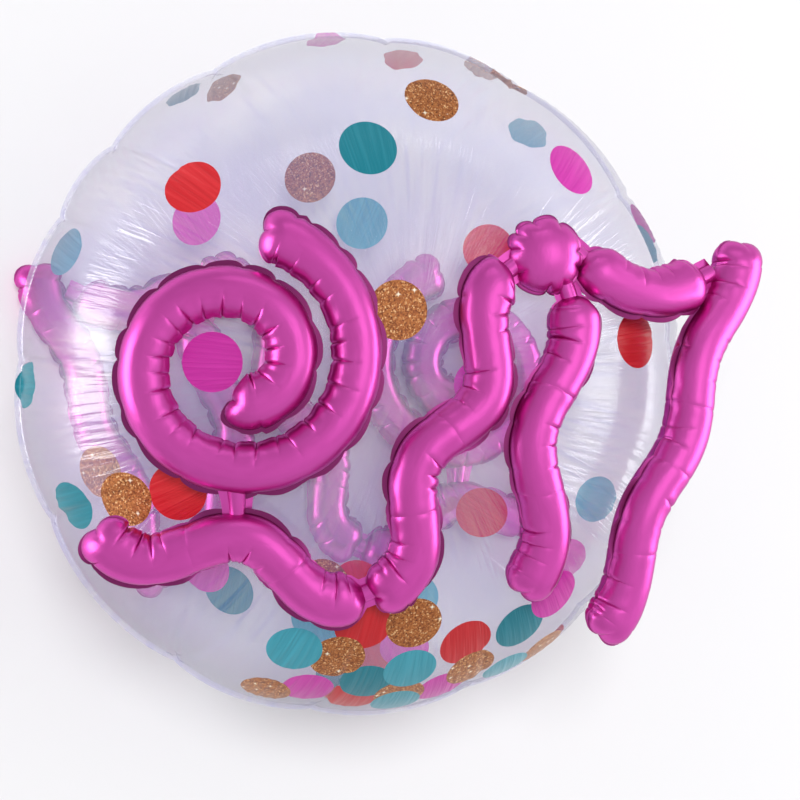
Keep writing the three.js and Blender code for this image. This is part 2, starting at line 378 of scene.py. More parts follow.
# %% [markdown]
# The film's creases run out from its middle like spokes. So its crinkle is looked up by
# direction, finely, and by distance, coarsely. The film is nearly clear: most of what shows
# is behind it, under a faint lavender haze. A painted highlight whitens the haze along the
# creases, more in some patches than in others, for the glint of light on them, and a painted
# shade darkens it where the film is seen edge on. A high index of refraction gives back the
# gloss that the low alpha takes away.

# %% Creases in the film's finish
SPOKE_FINENESS = (42, 42, 42)
SPOKE_STRETCH = 9
SPOKE_SHARPNESS = 6
FILM_BUMP, FILM_BUMP_DEPTH = 0.6, 0.5 * MM


def film_creases(tree, shader):
    """The film's fine creases: they change quickly round the film and slowly outwards."""
    rest = on_surface(tree, "rest", "Vector")
    direction = vector_maths(tree, "NORMALIZE", rest)
    spread = vector_maths(tree, "MULTIPLY", direction, SPOKE_FINENESS)
    outwards = maths(tree, "MULTIPLY", vector_maths(tree, "LENGTH", rest), SPOKE_STRETCH)
    lift = add_node(tree, "ShaderNodeCombineXYZ", {"Z": outwards}).outputs[0]
    place = vector_maths(tree, "ADD", spread, lift)
    spokes = crinkled(tree, place, 1, SPOKE_SHARPNESS)
    bumped(tree, shader, spokes.outputs["Height"], FILM_BUMP, FILM_BUMP_DEPTH)
    return spokes


# %% Clear film
HAZE = (0.30, 0.30, 0.80)
CREASE_GLINT = (0.95, 0.95, 1)
EDGE_ON_SHADE = (0.09, 0.08, 0.28)
EDGE_ON_RANGE = (0.25, 0.75)
PATCH_SCALE = 9
PATCH_RANGE = (0.38, 0.68)
LEAST_GLINT = 0.06
FILM_ROUGHNESS = (0.12, 0.26)

film_finish, tree, shader = new_finish("clear_film")
spokes = film_creases(tree, shader)
glint_patches = add_node(
    tree,
    "ShaderNodeTexNoise",
    {"Vector": on_surface(tree, "rest", "Vector"), "Scale": PATCH_SCALE, "Detail": 1},
)
glint_patches = ranged(tree, glint_patches.outputs["Fac"], PATCH_RANGE, (LEAST_GLINT, 1))
# painted highlight: the haze turns white along the creases and folds, in patches, for their glint
crease_glint = maths(tree, "MULTIPLY", spokes.outputs["Lines"], glint_patches)
crease_glint = maths(tree, "ADD", crease_glint, on_surface(tree, "crest"), clamped=True)
# painted shade: the haze darkens where the film is seen edge on
facing = add_node(tree, "ShaderNodeLayerWeight", {"Blend": 0.5}).outputs["Facing"]
edge_on = ranged(tree, facing, EDGE_ON_RANGE, (0, 1))
haze_with_glint_and_shade = mixed(tree, edge_on, mixed(tree, crease_glint, HAZE, CREASE_GLINT), EDGE_ON_SHADE)
tree.links.new(haze_with_glint_and_shade, shader.inputs["Base Color"])
gloss = ranged(tree, spokes.outputs["Mask"], (0, 1), FILM_ROUGHNESS)
tree.links.new(gloss, shader.inputs["Roughness"])
shader.inputs["IOR"].default_value = 4
shader.inputs["Alpha"].default_value = 0.25
print(film_finish.name, "made of", len(tree.nodes), "nodes")

# %% [markdown]
# The dots are printed on the film, so their ink is creased as it is, and a painted shade
# darkens it along the creases. Each colour is its own material. The back of the balloon has
# its own set, painted a little brighter because less light gets there, and thinner towards
# the rim, where the creases break the print up.

# %% Ink
INKS = {
    "red": (0.55, 0.014, 0.021),
    "teal": (0.003, 0.19, 0.25),
    "sky": (0.045, 0.32, 0.41),
    "magenta": (0.6, 0.028, 0.38),
}
INK_BETWEEN_CREASES, INK_IN_CREASE_SHADE = 1.05, 0.94
SHOWS_THROUGH = 0.01
FAR_BRIGHTER = 1.2
THIN_FROM, THINNEST = 250 * MM, 0.66
ink_finishes = {FACE: {}, BACK: {}}


def thin_towards_rim(tree, shader):
    """Ink that lets more of the floor through near the rim, where the film is creased."""
    distance = vector_maths(tree, "LENGTH", on_surface(tree, "rest", "Vector"))
    cover = ranged(tree, distance, (THIN_FROM, FLAT_RADIUS), (1, THINNEST))
    tree.links.new(cover, shader.inputs["Alpha"])


def ink_finish(name, colour, side):
    """Ink with a painted shade along the film's creases, and a little paler between them."""
    finish, tree, shader = new_finish(f"{name}_ink" if side == FACE else f"far_{name}_ink")
    creases = film_creases(tree, shader)
    strength = 1 if side == FACE else FAR_BRIGHTER
    between_creases = [min(1, INK_BETWEEN_CREASES * strength * part + SHOWS_THROUGH) for part in colour]
    crease_shaded = [INK_IN_CREASE_SHADE * strength * part for part in colour]
    # painted shade: the ink darkens along the crease lines
    ink = mixed(tree, creases.outputs["Lines"], between_creases, crease_shaded)
    tree.links.new(ink, shader.inputs["Base Color"])
    if side == BACK:
        thin_towards_rim(tree, shader)
    shader.inputs["Roughness"].default_value = 0.3
    shader.inputs["Specular IOR Level"].default_value = 0.35
    return finish


for side in SIDES.values():
    for name, colour in INKS.items():
        ink_finishes[side][name] = ink_finish(name, colour, side)
print("inks:", *INKS)

# %% [markdown]
# The gold dots are glitter. Small cells stand for the flakes, each with a colour from dark
# copper to bright gold and a lean of its own, and some cells of a coarser grid carry a small
# four-pointed sparkle.

# %% Glitter print
FLAKES_PER_METRE = 800
DARK_FLAKE, COPPER_FLAKE = (0.10, 0.022, 0.006), (0.34, 0.10, 0.025)
GOLD_FLAKE, BRIGHT_FLAKE = (0.52, 0.19, 0.05), (1, 0.7, 0.36)
SPARKLE = (1, 0.9, 0.7)
SPARKLES_PER_METRE = 55
SPARKLE_REACH = 4.5 * MM
SPARKLE_EDGE = (0.6, 1)
FLAKE_BUMP, FLAKE_DEPTH = 0.5, 0.3 * MM


def sparkles(tree, rest):
    """1 in the middle of a sparkle and 0 away from it."""
    cells = add_node(
        tree, "ShaderNodeTexVoronoi", {"Vector": rest, "Scale": SPARKLES_PER_METRE}
    )
    offset = vector_maths(tree, "SUBTRACT", rest, cells.outputs["Position"])
    offset = vector_maths(tree, "MULTIPLY", offset, (1 / SPARKLE_REACH, 1 / SPARKLE_REACH, 0))
    offset = vector_maths(tree, "ABSOLUTE", offset)
    parts = add_node(tree, "ShaderNodeSeparateXYZ", {0: offset})
    arms = [maths(tree, "POWER", parts.outputs[axis], 0.5) for axis in ("X", "Y")]
    star = ranged(tree, maths(tree, "ADD", *arms), SPARKLE_EDGE, (1, 0))
    chosen = maths(tree, "GREATER_THAN", cells.outputs["Color"], 0.5)
    return maths(tree, "MULTIPLY", star, chosen)


def glitter_finish(side):
    """Copper and gold flakes, each with a brightness and a lean of its own."""
    finish, tree, shader = new_finish("gold_glitter" if side == FACE else "far_gold_glitter")
    rest = on_surface(tree, "rest", "Vector")
    flakes = add_node(tree, "ShaderNodeTexVoronoi", {"Vector": rest, "Scale": FLAKES_PER_METRE})
    ramp = add_node(tree, "ShaderNodeValToRGB", {"Fac": flakes.outputs["Color"]})
    stops = ramp.color_ramp.elements
    stops[0].color = (*DARK_FLAKE, 1)
    stops[1].color = (*BRIGHT_FLAKE, 1)
    for place, colour in ((0.4, COPPER_FLAKE), (0.75, GOLD_FLAKE)):
        stops.new(place).color = (*colour, 1)
    glitter = mixed(tree, sparkles(tree, rest), ramp.outputs["Color"], SPARKLE)
    tree.links.new(glitter, shader.inputs["Base Color"])
    if side == BACK:
        thin_towards_rim(tree, shader)
    bumped(tree, shader, flakes.outputs["Distance"], FLAKE_BUMP, FLAKE_DEPTH)
    shader.inputs["Metallic"].default_value = 0.4
    shader.inputs["Roughness"].default_value = 0.35
    return finish


for side in SIDES.values():
    ink_finishes[side]["gold"] = glitter_finish(side)
print(sum(len(finishes) for finishes in ink_finishes.values()), "finishes for the dots")

# %% [markdown]
# The foil is metal under a magenta lacquer. It mirrors softly, because its fine crinkle
# scatters the light, and the lacquer adds a second gloss. The welds get a dark fringe of
# painted shade, strongest outside a bend, which an attribute called `weld` says.

# %% Magenta foil
LACQUER_DEEP, LACQUER_PALE = (0.66, 0.06, 0.41), (0.78, 0.085, 0.51)
WELD_PAINTED_SHADE = (0.22, 0.006, 0.12)
FOIL_FINENESS, FOIL_SHARPNESS = 110, 2
LENGTHWISE = (1, 0.35, 1)
FOIL_BUMP, FOIL_BUMP_DEPTH = 0.5, 0.5 * MM

foil_finish, tree, shader = new_finish("magenta_foil")
place = vector_maths(tree, "MULTIPLY", on_surface(tree, "rest", "Vector"), LENGTHWISE)
creases = crinkled(tree, place, FOIL_FINENESS, FOIL_SHARPNESS)
lacquer = mixed(tree, creases.outputs["Mask"], LACQUER_DEEP, LACQUER_PALE)
# painted shade: the lacquer darkens to deep maroon where the `weld` attribute says
lacquer = mixed(tree, on_surface(tree, "weld"), lacquer, WELD_PAINTED_SHADE)
tree.links.new(lacquer, shader.inputs["Base Color"])
bumped(tree, shader, creases.outputs["Height"], FOIL_BUMP, FOIL_BUMP_DEPTH)
shader.inputs["Metallic"].default_value = 1
shader.inputs["Roughness"].default_value = 0.36
shader.inputs["Specular Tint"].default_value = (0.5, 0.2, 0.42, 1)
shader.inputs["Coat Weight"].default_value = 0.6
shader.inputs["Coat Roughness"].default_value = 0.3
print(foil_finish.name, "made of", len(tree.nodes), "nodes")

# %% [markdown]
# ## Where the dots are
#
# The dots were read off the picture, as the pixel of each one's middle. A line from
# the camera through that pixel meets the film twice. The near dots are where it goes in,
# and the pale ones, seen through the balloon, are where it comes out. Three near dots that
# the streamers would cover are moved a little, so that they still show.

# %% Places of the dots, in pixels of the picture
DOT_RADIUS = 25.5 * MM
NEAR_DOTS = {
    "red": [(191, 185), (637, 340), (177, 492), (363, 626), (350, 700), (466, 644), (562, 643)],
    "teal": [(368, 147), (70, 507), (22, 385), (366, 684), (520, 627)],
    "magenta": [(572, 169), (212, 362), (307, 690), (440, 688), (554, 595)],
    "gold": [(432, 98), (398, 310), (124, 500), (414, 624), (337, 659), (265, 690), (399, 695)]
    + [(471, 670), (542, 647)],
    "sky": [(294, 650), (410, 670), (395, 702), (506, 668)],
}
FAR_DOTS = {
    "red": [(489, 249), (403, 57), (358, 585), (373, 658), (482, 513)],
    "teal": [(180, 88), (229, 591), (340, 680)],
    "magenta": [(196, 219), (645, 222), (205, 568), (405, 650), (565, 560), (480, 385), (325, 38)],
    "gold": [(310, 177), (482, 68), (99, 472), (324, 584), (220, 82), (516, 79)],
    "sky": [(362, 223), (529, 132), (668, 240), (62, 250), (316, 622), (598, 500), (413, 596)],
}

# %% From a pixel to the film
SIGHT_STEPS = 4000
SIGHT_REACH = 1.2 * BALLOON_RADIUS
HEIGHT_COUNTS = 0.25  # how much a height over the rim counts where a line just misses


def film_hits(pixel):
    """The two places where the line through a pixel meets the film, from the film's middle."""
    across = (pixel[0] - PICTURE_SIDE / 2) * PIXEL / CAMERA_DISTANCE
    upwards = (PICTURE_SIDE / 2 - pixel[1]) * PIXEL / CAMERA_DISTANCE
    ray = view_ahead + across * view_right + upwards * view_up
    reach = np.linspace(CAMERA_DISTANCE - SIGHT_REACH, CAMERA_DISTANCE + SIGHT_REACH, SIGHT_STEPS)
    line = (eye - BALLOON_MIDDLE) + reach[:, None] * ray
    distance = np.hypot(line[:, 0], line[:, 1])
    inside = (distance < BALLOON_RADIUS) & (abs(line[:, 2]) < film_height(distance))
    found = np.flatnonzero(inside)
    if len(found) == 0:
        missed_by = np.maximum(distance - BALLOON_RADIUS, 0) + HEIGHT_COUNTS * abs(line[:, 2])
        nearest = np.argmin(missed_by)
        return line[nearest], line[nearest]
    return line[found[0]], line[found[-1]]


def to_flat(point):
    """A place on the blown up film as (side, x, y) on the flat disc."""
    distance = math.hypot(point[0], point[1])
    angle = math.asin(min(1, distance / BALLOON_RADIUS))
    along = np.interp(angle, curve_angle, curve_flat)
    side = FACE if point[2] > 0 else BACK
    return side, along * point[0] / distance, along * point[1] / distance


printed = {FACE: [], BACK: []}
for which, dots in enumerate((NEAR_DOTS, FAR_DOTS)):
    for colour, pixels in dots.items():
        for pixel in pixels:
            side, x, y = to_flat(film_hits(pixel)[which])
            printed[side].append((colour, x, y))
print({side: len(dots) for side, dots in printed.items()}, "dots on the face and the back")

# %% [markdown]
# ## The flat film
#
# Each disc is laid out flat, as it is printed: rings of points, finer towards the rim where
# the film will crease, with every dot's outline cut into it, so that ink and film meet on a
# clean edge. Spin or a subdivided circle can't cut in the outlines, so a triangulation that
# keeps given edges does it. Near the rim of the back the creases hide part of each dot, so
# there its outline is drawn smaller and uneven.

# %% Lay out and triangulate a disc
RING_PLAN = (  # from, to, spacing and points in each ring
    (0.0, 120 * MM, 12 * MM, 200),
    (120 * MM, 200 * MM, 10 * MM, 1400),
    (200 * MM, FLAT_RADIUS, 6 * MM, 1600),
)
RIM_SIDES = 1600
DOT_SIDES = 80
CRUMPLED_FROM = 325 * MM
CRUMPLED_SIZE, CRUMPLED_CHANGE = 0.84, 0.06
CRUMPLED_WAVES = (2, 3, 4, 7)
DOT_SEEDS = 1000
SAME_POINT = 1e-7
INSIDE_ONLY = 1  # the triangulation gives only the triangles inside the outlines


def ring_points(radius, sides):
    """Points evenly spaced on a circle."""
    angle = np.arange(sides) * TURN / sides
    return np.column_stack([radius * np.cos(angle), radius * np.sin(angle)])


def ring_waves(angle, counts, seed):
    """A smooth random wave round the film, from about -1 to 1."""
    chance = np.random.default_rng(seed)
    total = 0
    for count in counts:
        total = total + np.sin(count * angle + chance.uniform(0, TURN))
    return total / math.sqrt(len(counts))


def dot_outline(x, y, side):
    """A round dot, or what the creases leave to be seen of one near the rim of the back."""
    outline = ring_points(DOT_RADIUS, DOT_SIDES)
    if side == FACE or math.hypot(x, y) < CRUMPLED_FROM:
        return outline
    angle = np.arange(DOT_SIDES) * TURN / DOT_SIDES
    seed = round((x * 7 + y) / MM) % DOT_SEEDS  # so that each dot is uneven in its own way
    uneven = CRUMPLED_SIZE + CRUMPLED_CHANGE * ring_waves(angle, CRUMPLED_WAVES, seed)
    return outline * uneven[:, None]


def flat_disc(dots, side):
    """The flat disc's points, its triangles and each triangle's colour, or None for film."""
    points = [np.zeros((1, 2))]
    for first, last, spacing, sides in RING_PLAN:
        rings = max(1, round((last - first) / spacing))
        for ring in range(1, rings + 1):
            points.append(ring_points(first + (last - first) * ring / rings, sides))
    edge = sum(len(p) for p in points)
    points.append(ring_points(FLAT_RADIUS + WELD_WIDTH, RIM_SIDES))
    outlines = [list(range(edge, edge + RIM_SIDES))]
    for colour, x, y in dots:
        start = sum(len(p) for p in points)
        points.append(dot_outline(x, y, side) + (x, y))
        outlines.append(list(range(start, start + DOT_SIDES)))
    flat = [Vector(p) for p in np.concatenate(points)]
    made = delaunay_2d_cdt(flat, [], outlines, INSIDE_ONLY, SAME_POINT, True)
    places, triangles, inside = made[0], made[2], made[5]
    kept = [(t, max(i)) for t, i in zip(triangles, inside) if 0 in i]
    colours = [dots[last - 1][0] if last else None for _, last in kept]
    return np.array([tuple(p) for p in places]), [t for t, _ in kept], colours


# %% [markdown]
# ## Creases and folds
#
# The rim is shorter than the film it was cut from, so the film near it stands in creases,
# sharpest where the rim puckers. They run inwards and fade. They are made as true relief,
# because the light plays on them, and only the finest are left to the finish. From each
# pucker one deeper fold runs in between two low ridges.

# %% Creases of the film
CREASES = 200
CREASE_HEIGHT = 0.85 * MM
CREASE_REACH, REACH_CHANGE, LEAST_REACH = 80 * MM, 32 * MM, 20 * MM
CREASE_STRENGTH, STRENGTH_CHANGE = 0.28, 0.14
REACH_WAVES, STRENGTH_WAVES = (3, 7, 12, 19), (5, 9, 14, 23)
CREASE_SHARPNESS = 0.8
WANDER, WANDER_WAVES = 2.2, (11, 17, 29)
WAVINESS, WAVES_PER_METRE = 1.1, 55
SWAY, SWAY_WAVES = 5, (4, 6)
CALM_AT_WELD = 7 * MM
STRONG_REACH = 45 * MM
STRONG_CREASES = (  # direction and spread in degrees, and how much stronger
    (12, 9, 1.0),
    (-24, 10, 0.9),
    (188, 12, 0.8),
    (66, 12, 0.45),
    (140, 12, 0.5),
    (-120, 14, 0.4),
)


def turned(angle, degrees):
    """How far an angle is from a direction, in degrees, the short way round."""
    return (np.degrees(angle) - degrees + 180) % 360 - 180


def near_direction(angle, degrees, spread):
    """1 in a direction, fading to 0 away from it."""
    return np.exp(-((turned(angle, degrees) / spread) ** 2))


def creased(flat_distance, angle, seed):
    """How far the creases lift the film."""
    from_rim = np.maximum(FLAT_RADIUS - flat_distance, 0)
    reach = CREASE_REACH + REACH_CHANGE * ring_waves(angle, REACH_WAVES, seed)
    strength = CREASE_STRENGTH + STRENGTH_CHANGE * ring_waves(angle, STRENGTH_WAVES, seed + 1)
    for degrees, spread, more in STRONG_CREASES:
        near = near_direction(angle, degrees, spread)
        strength = strength + more * near
        reach = reach + STRONG_REACH * more * near
    fade = np.exp(-((from_rim / np.maximum(reach, LEAST_REACH)) ** 2))
    fade = fade * (1 - np.exp(-from_rim / CALM_AT_WELD))
    phase = CREASES * angle + WANDER * ring_waves(angle, WANDER_WAVES, seed + 2)
    sway = WAVES_PER_METRE * flat_distance + SWAY * ring_waves(angle, SWAY_WAVES, seed + 3)
    phase = phase + WAVINESS * np.sin(sway)
    ridge = 1 - 2 * np.abs(np.sin(phase / 2)) ** CREASE_SHARPNESS
    return CREASE_HEIGHT * strength * fade * ridge


# %% Folds from the puckers
FOLD_DEPTH = 3.2 * MM
FOLD_WIDTH = 3 * MM
FOLD_LEAN = 0.1
FOLD_REACH = (60, 130)
FOLD_CALM_AT_WELD = 4 * MM
RIDGE_HEIGHT, RIDGE_ASIDE = 0.5, 2.2


def folded(flat_distance, angle, blown_distance, seed):
    """The deeper folds that run in from the puckers of the rim."""
    from_rim = np.maximum(FLAT_RADIUS - flat_distance, 0)
    lift = np.zeros_like(angle)
    chance = np.random.default_rng(seed)
    for degrees in PUCKER_ANGLES:
        lean, reach = chance.uniform(-FOLD_LEAN, FOLD_LEAN), chance.uniform(*FOLD_REACH) * MM
        aside = np.radians(turned(angle, degrees)) * blown_distance + lean * from_rim
        aside = np.abs(aside) / FOLD_WIDTH
        valley = np.exp(-aside) - RIDGE_HEIGHT * np.exp(-((aside - RIDGE_ASIDE) ** 2))
        lift -= FOLD_DEPTH * valley * np.exp(-from_rim / reach)
    return lift * (1 - np.exp(-from_rim / FOLD_CALM_AT_WELD))


# %% [markdown]
# ## Blowing it up
#
# Each flat point goes to its place on the curve, is lifted by its crease and its fold along
# the film's own normal, and near the rim is drawn in at the puckers. One long stretch of the
# rim is a little flatter than the rest. How strongly each point is creased is kept with it
# as `crest`, for the finish, which paints a highlight there for the glint on the creases.

# %% Blow up a disc
CREASE_SEEDS = {FACE: 11, BACK: 47}
FOLD_SEED = 9
FLAT_STRETCH = (132, 32, 6 * MM)  # direction and spread in degrees, and depth
# how strongly a crease is painted with highlight
CREST_GLINT = 0.9
ON_WELD = 1e-6


def blown_up(flat, side):
    """The flat points on the blown up film, in the model's frame, and how creased each is."""
    seed = CREASE_SEEDS[side]
    flat_distance = np.hypot(flat[:, 0], flat[:, 1])
    angle = np.arctan2(flat[:, 1], flat[:, 0])
    bulge = np.interp(flat_distance, curve_flat, curve_angle)
    distance = BALLOON_RADIUS * np.sin(bulge) + np.maximum(flat_distance - FLAT_RADIUS, 0)
    height = np.interp(flat_distance, curve_flat, curve_height) + GAP
    outwards, upwards = np.sin(bulge) ** 2, np.cos(bulge) * np.sqrt(1 + np.sin(bulge) ** 2)
    creases = creased(flat_distance, angle, seed)
    folds = folded(flat_distance, angle, distance, seed + FOLD_SEED)
    lift = np.where(flat_distance >= FLAT_RADIUS - ON_WELD, 0, creases + folds)
    crest = creases / CREASE_HEIGHT + np.abs(folds) / FOLD_DEPTH
    nearness = (distance / BALLOON_RADIUS) ** PUCKER_REACH
    middle, spread, depth = FLAT_STRETCH
    drawn_in = PUCKER_DEPTH * (1 - rim_fullness(angle))
    drawn_in = drawn_in + depth / BALLOON_RADIUS * near_direction(angle, middle, spread)
    share = 1 - drawn_in * nearness
    distance = (distance + lift * outwards) * share
    height = (height + lift * upwards) * share
    places = np.column_stack([distance * np.cos(angle), distance * np.sin(angle), side * height])
    return places + BALLOON_MIDDLE, np.clip(CREST_GLINT * crest, 0, 1)


# %% [markdown]
# ## Film and ink as separate pieces
#
# The film and its print are made as one mesh with a material for each colour, and then
# separated by material, so that the edges of ink and film match point for point. Points that
# no triangle uses are deleted first.

# %% Make a side and part it


def keep_on_points(mesh, name, values):
    """Keep a number or a vector for each point, for the finish to read."""
    values = np.asarray(values, dtype=np.float32)
    single = values.ndim == 1
    layer = mesh.attributes.new(name, "FLOAT" if single else "FLOAT_VECTOR", "POINT")
    layer.data.foreach_set("value" if single else "vector", values.ravel())


def film_side(name, side):
    """One side of the balloon as a piece of film, and its dots as pieces of ink."""
    flat, triangles, colours = flat_disc(printed[side], side)
    places, crest = blown_up(flat, side)
    if side == BACK:
        triangles = [t[::-1] for t in triangles]
    mesh = bpy.data.meshes.new(name)
    mesh.from_pydata(places.tolist(), [], triangles)
    keep_on_points(mesh, "rest", np.column_stack([flat, np.zeros(len(flat))]))
    # how creased each point is, read by the film's finish for its painted highlight
    keep_on_points(mesh, "crest", crest)
    names = [None, *ink_finishes[side]]
    mesh.materials.append(film_finish)
    for ink in ink_finishes[side].values():
        mesh.materials.append(ink)
    mesh.polygons.foreach_set("material_index", [names.index(c) for c in colours])
    mesh.update()
    film = bpy.data.objects.new(name, mesh)
    bpy.context.scene.collection.objects.link(film)
    deselect()
    film.select_set(True)
    bpy.context.view_layer.objects.active = film
    bpy.ops.object.shade_smooth()
    bpy.ops.object.mode_set(mode="EDIT")
    bpy.ops.mesh.select_all(action="SELECT")
    bpy.ops.mesh.delete_loose()
    bpy.ops.mesh.select_all(action="SELECT")
    bpy.ops.mesh.separate(type="MATERIAL")
    bpy.ops.object.mode_set(mode="OBJECT")
    return list(bpy.context.selected_objects)


def only_finish(piece):
    """The one finish that a separated piece uses. Its other slots are cleared."""
    finish = piece.data.materials[piece.data.polygons[0].material_index]
    piece.data.polygons.foreach_set("material_index", [0] * len(piece.data.polygons))
    piece.data.materials.clear()
    piece.data.materials.append(finish)
    return finish


for place, side in SIDES.items():
    for piece in film_side(f"{place}_film", side):
        finish = only_finish(piece)
        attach(piece, BODY)
        if finish == film_finish:
            piece.name = f"{place}_film"
            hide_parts("clear_balloon")
        else:
            colour = finish.name.removeprefix("far_").split("_")[0]
            piece.name = f"{place}_{colour}_dots"
        print(piece.name, len(piece.data.polygons), "triangles")

# %% [markdown]
# ## The foil streamers
#
# A streamer is cut from two flat layers of foil, welded along both edges and blown up to a
# round tube. Where it bends, the foil on the inside of the bend is too long and crimps, and
# the weld on the outside draws in at small notches with an arc between each two. The tubes
# follow the same routes as the solids.

# %% Routes of the streamers, seen from the front, from the balloon's middle
WHIRL_MIDDLE = (-152 * MM, 6 * MM)
WHIRL_OUTER, WHIRL_INNER, WHIRL_PITCH = 112 * MM, 30 * MM, 55 * MM
WHIRL_START = math.radians(78)


def whirl_route(t):
    """A spiral from the outside in."""
    radius = WHIRL_OUTER + (WHIRL_INNER - WHIRL_OUTER) * t
    angle = WHIRL_START - (WHIRL_OUTER - radius) / WHIRL_PITCH * TURN
    x = WHIRL_MIDDLE[0] + radius * np.cos(angle)
    return np.stack([x, WHIRL_MIDDLE[1] + radius * np.sin(angle)], -1)


def ripple(start, stop, height, waves):
    """A wave along a straight line, which starts on the line."""
    start, stop = np.array(start) * MM, np.array(stop) * MM
    along = stop - start
    across = np.array([-along[1], along[0]]) / np.hypot(*along)

    def route(t):
        t = np.asarray(t)[..., None]
        return start + along * t + across * height * MM * np.sin(TURN * waves * t)

    return route


ROUTES = {  # route, and whether it starts and ends in a neck
    "whirl": (whirl_route, False, False),
    "left_ripple": (ripple((-262, -130), (-28, -182), -18, 1.5), False, True),
    "middle_ripple": (ripple((92, 92), (-32, -190), -16, 2), True, False),
    "right_ripple": (ripple((134, 76), (100, -190), 14, 1.5), True, False),
    "long_ripple": (ripple((318, 116), (180, -230), 7, 2.5), False, False),
    "swag": (ripple((142, 106), (286, 88), -28, 0.5), True, True),
}
WHIRL_NECK = ((-150, -90), (-146, -150))
BALL_MIDDLE = (115, 98)


# %% Where a set lies
def surface_height(side, x, y):
    """Height of a tube's middle line over a place."""
    if side == BACK:
        return np.full_like(x, BACK_HEIGHT / 2)
    distance = np.hypot(x, y)
    near = np.minimum(distance, FOLLOW_RADIUS)
    slope = film_slope(near)
    lift = (TUBE_RADIUS * FLAT_SHARE + GAP) * np.hypot(1, slope)
    return BALLOON_MIDDLE[2] + film_height(near) + lift - (distance - near) * slope


def set_scale(side):
    return 1 if side == FACE else BACK_SCALE


def laid(side, flat):
    """Flat points of a route, laid on the face or under the back."""
    scale = set_scale(side)
    x = flat[..., 0] if side == FACE else BACK_SHIFT - flat[..., 0] * scale
    y = flat[..., 1] * scale
    return np.stack([x, y, surface_height(side, x, y)], -1)


def unit(vectors):
    return vectors / np.linalg.norm(vectors, axis=-1, keepdims=True)


def surface_up(side, points):
    """Which way is straight out of what a tube lies on."""
    if side == BACK:
        return np.zeros_like(points) + (0, 0, 1)
    distance = np.maximum(np.hypot(points[..., 0], points[..., 1]), NEARLY_ZERO)
    fall = film_slope(np.minimum(distance, FOLLOW_RADIUS)) / distance
    return unit(np.stack([fall * points[..., 0], fall * points[..., 1], np.ones_like(fall)], -1))


# %% A route measured along its length
ROUTE_STEPS = 1500


class Line:
    """A route with its length, its points and how sharply it bends."""

    def __init__(self, route):
        self.points = route(np.linspace(0, 1, ROUTE_STEPS))
        steps = np.hypot(*np.diff(self.points, axis=0).T)
        self.along = np.concatenate([[0], np.cumsum(steps)])
        self.length = self.along[-1]
        self.heading = unit(np.gradient(self.points, self.along, axis=0))
        turn = np.unwrap(np.arctan2(self.heading[:, 1], self.heading[:, 0]))
        self.bend = np.gradient(turn, self.along)

    def at(self, along, values):
        """What the route says at these distances."""
        along = np.clip(along, 0, self.length)
        if values.ndim == 1:
            return np.interp(along, self.along, values)
        return np.stack([np.interp(along, self.along, values[:, k]) for k in range(2)], -1)


for key, (route, *_) in ROUTES.items():
    print(key, round(Line(route).length / MM), "mm long")

# %% [markdown]
# ### Crimps and notches
#
# A crimp is a short sharp valley with a low ridge at each side, on the inside of the bend, or
# shallow and right across where the tube runs straight. Crimps stand closer in a sharp bend.
# The notches in the welds are spaced evenly, with some chance in it.

# %% Crimps along a tube
CRIMP_DEPTH = 1.7 * MM
CRIMP_WIDTH = 1.3 * MM
FULL_CRIMP_BEND = 1 / (60 * MM)
STRAIGHT_BELOW, STRAIGHT_DEPTH = 0.25, 0.35
FIRST_CRIMP, LAST_CRIMP = (16, 26), 14 * MM
CRIMP_SPACING, CLOSER_IN_BENDS = (21, 36), 0.42
DEPTH_CHANCE, SLANT_CHANCE, LENGTH_CHANCE = (0.5, 1.2), (-4, 4), (0.6, 1.2)
CRIMP_TAPER, ACROSS_SHARE = 0.55, 0.75
CRIMP_RIDGE, RIDGE_PLACE, RIDGE_WIDTH = 0.45, 4.5 * MM, 3.5 * MM
SLANT_REACH = 7 * MM


def crimps_along(line, seed):
    """(distance, depth, side, slant, length) of each crimp. Side is 1, -1, or 0 for both."""
    chance = np.random.default_rng(seed)
    crimps, along = [], chance.uniform(*FIRST_CRIMP) * MM
    while along < line.length - LAST_CRIMP:
        bend = line.at(along, line.bend)
        share = min(1, abs(bend) / FULL_CRIMP_BEND)
        side = 0 if share < STRAIGHT_BELOW else math.copysign(1, bend)
        depth = CRIMP_DEPTH * (STRAIGHT_DEPTH + (1 - STRAIGHT_DEPTH) * share)
        depth *= chance.uniform(*DEPTH_CHANCE)
        slant, long = chance.uniform(*SLANT_CHANCE) * MM, chance.uniform(*LENGTH_CHANCE)
        crimps.append((along, depth, side, slant, long))
        along += chance.uniform(*CRIMP_SPACING) * MM * (1 - CLOSER_IN_BENDS * share)
    return crimps


def crimped(along, across, crimps):
    """How far the crimps lift the foil, and how far they slide it along the tube."""
    lift, slide = np.zeros_like(along), np.zeros_like(along)
    for place, depth, side, slant, long in crimps:
        share = np.clip((across * side - 1 + long) / CRIMP_TAPER, 0, 1) if side else ACROSS_SHARE
        offset = along - place
        ridge = np.exp(-((abs(offset) - RIDGE_PLACE) / RIDGE_WIDTH) ** 2)
        lift += depth * share * (CRIMP_RIDGE * ridge - np.exp(-abs(offset) / CRIMP_WIDTH))
        slide += slant * across * abs(across) * np.exp(-((offset / SLANT_REACH) ** 2))
    return lift, slide


# %% Notches along a weld
NOTCH_SPACING = (20, 36)
NOTCH_ROUNDNESS = 0.55


def between_notches(along, length, seed):
    """0 at a notch of the weld and 1 between two of them."""
    chance = np.random.default_rng(seed)
    notches = [0.0]
    while notches[-1] < length:
        notches.append(notches[-1] + chance.uniform(*NOTCH_SPACING) * MM)
    share = share_between(np.array(notches), along)
    return np.sin(math.pi * share) ** NOTCH_ROUNDNESS


